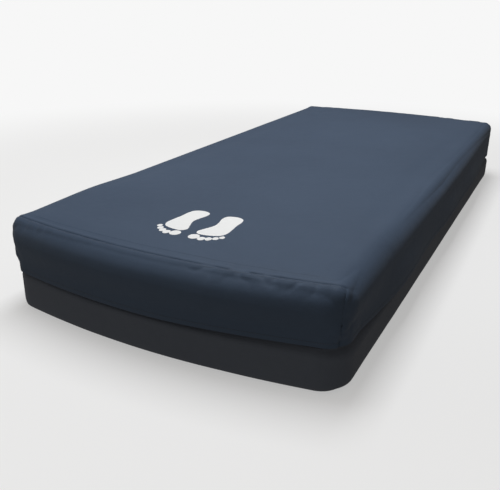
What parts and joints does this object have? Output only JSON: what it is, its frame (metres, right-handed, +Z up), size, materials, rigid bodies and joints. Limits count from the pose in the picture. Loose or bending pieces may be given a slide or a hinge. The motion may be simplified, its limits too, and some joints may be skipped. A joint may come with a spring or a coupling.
{
  "type": "pressure relief mattress",
  "caption": "Thick hospital bed mattress with bowed ends, a two-part zipped cover with flaps over the zip, and foam-filled air cells inside.",
  "frame": {"origin": "middle of the underside, on the deck plane", "axes": "+Y along the bed to the head end, +X across the bed to the right as seen from the foot end, +Z up"},
  "size_m": [0.914, 2.1218, 0.25],
  "materials": {
    "cover_fabric": "polyurethane-coated stretch knit, low sheen",
    "base_fabric": "coated woven polyester, matt",
    "zip_tape": "woven tape",
    "zip_coil": "nylon coil",
    "zip_metal": "die-cast, dark satin enamel",
    "fire_barrier": "knitted glass and modacrylic yarn",
    "base_foam": "open-cell foam, firm",
    "support_foam": "open-cell foam, medium",
    "bolster_foam": "open-cell foam, firm",
    "heel_foam": "slow-recovery foam, soft",
    "topper_foam": "slow-recovery foam",
    "cell_film": "polyurethane-coated nylon film",
    "insert_foam": "open-cell foam, soft",
    "port_plastic": "moulded, semi-rigid",
    "hose": "flexible tube",
    "valve_plastic": "moulded, satin",
    "filter_cap": "porous cap"
  },
  "bodies": {
    "mattress": {"top_cover_panel": "cover_fabric", "foot_end_panel": "cover_fabric", "head_end_panel": "cover_fabric", "foot_flap": "cover_fabric", "head_flap": "cover_fabric", "base_sheet": "base_fabric", "base_wall": "base_fabric", "lower_zip_tape": "zip_tape", "upper_zip_tape": "zip_tape", "lower_zip_coil": "zip_coil", "upper_zip_coil": "zip_coil", "zip_stops": "zip_metal", "fire_barrier_sock": "fire_barrier", "base_foam": "base_foam", "transition_foam": "support_foam", "foot_bolster": "bolster_foam", "head_bolster": "bolster_foam", "right_bolster": "bolster_foam", "left_bolster": "bolster_foam", "heel_topper": "heel_foam", "body_topper": "topper_foam", "air_cell_01": "cell_film", "air_cell_02": "cell_film", "air_cell_03": "cell_film", "air_cell_04": "cell_film", "air_cell_05": "cell_film", "air_cell_06": "cell_film", "air_cell_07": "cell_film", "air_cell_08": "cell_film", "air_cell_09": "cell_film", "air_cell_10": "cell_film", "air_cell_11": "cell_film", "air_cell_12": "cell_film", "cell_foam_inserts": "insert_foam", "left_cell_ports": "port_plastic", "right_cell_ports": "port_plastic", "left_manifold_hose": "hose", "right_manifold_hose": "hose", "left_air_valve": "valve_plastic", "right_air_valve": "valve_plastic", "valve_filter_caps": "filter_cap", "hose_end_plugs": "port_plastic"},
    "right_side_flap": {"right_flap": "cover_fabric"},
    "left_side_flap": {"left_flap": "cover_fabric"},
    "slider": {"zip_slider": "zip_metal"},
    "pull_tab": {"zip_pull_tab": "zip_metal"}
  },
  "joints": [
    {"name": "right_flap_fold", "type": "hinge", "parent": "mattress", "child": "right_side_flap", "pos_m": [0.457, 0, 0.15035], "axis": [0, -1, 0], "range_deg": [0, 120]},
    {"name": "left_flap_fold", "type": "hinge", "parent": "mattress", "child": "left_side_flap", "pos_m": [-0.457, 0, 0.15035], "axis": [0, 1, 0], "range_deg": [0, 120]},
    {"name": "zip_run", "type": "slide", "parent": "mattress", "child": "slider", "axis": [0, -1, 0], "range_m": [0, 1.88]},
    {"name": "tab_swing", "type": "hinge", "parent": "slider", "child": "pull_tab", "pos_m": [0.4486, 0.94, 0.129], "axis": [1, 0, 0], "range_deg": [-75, 75]}
  ]
}
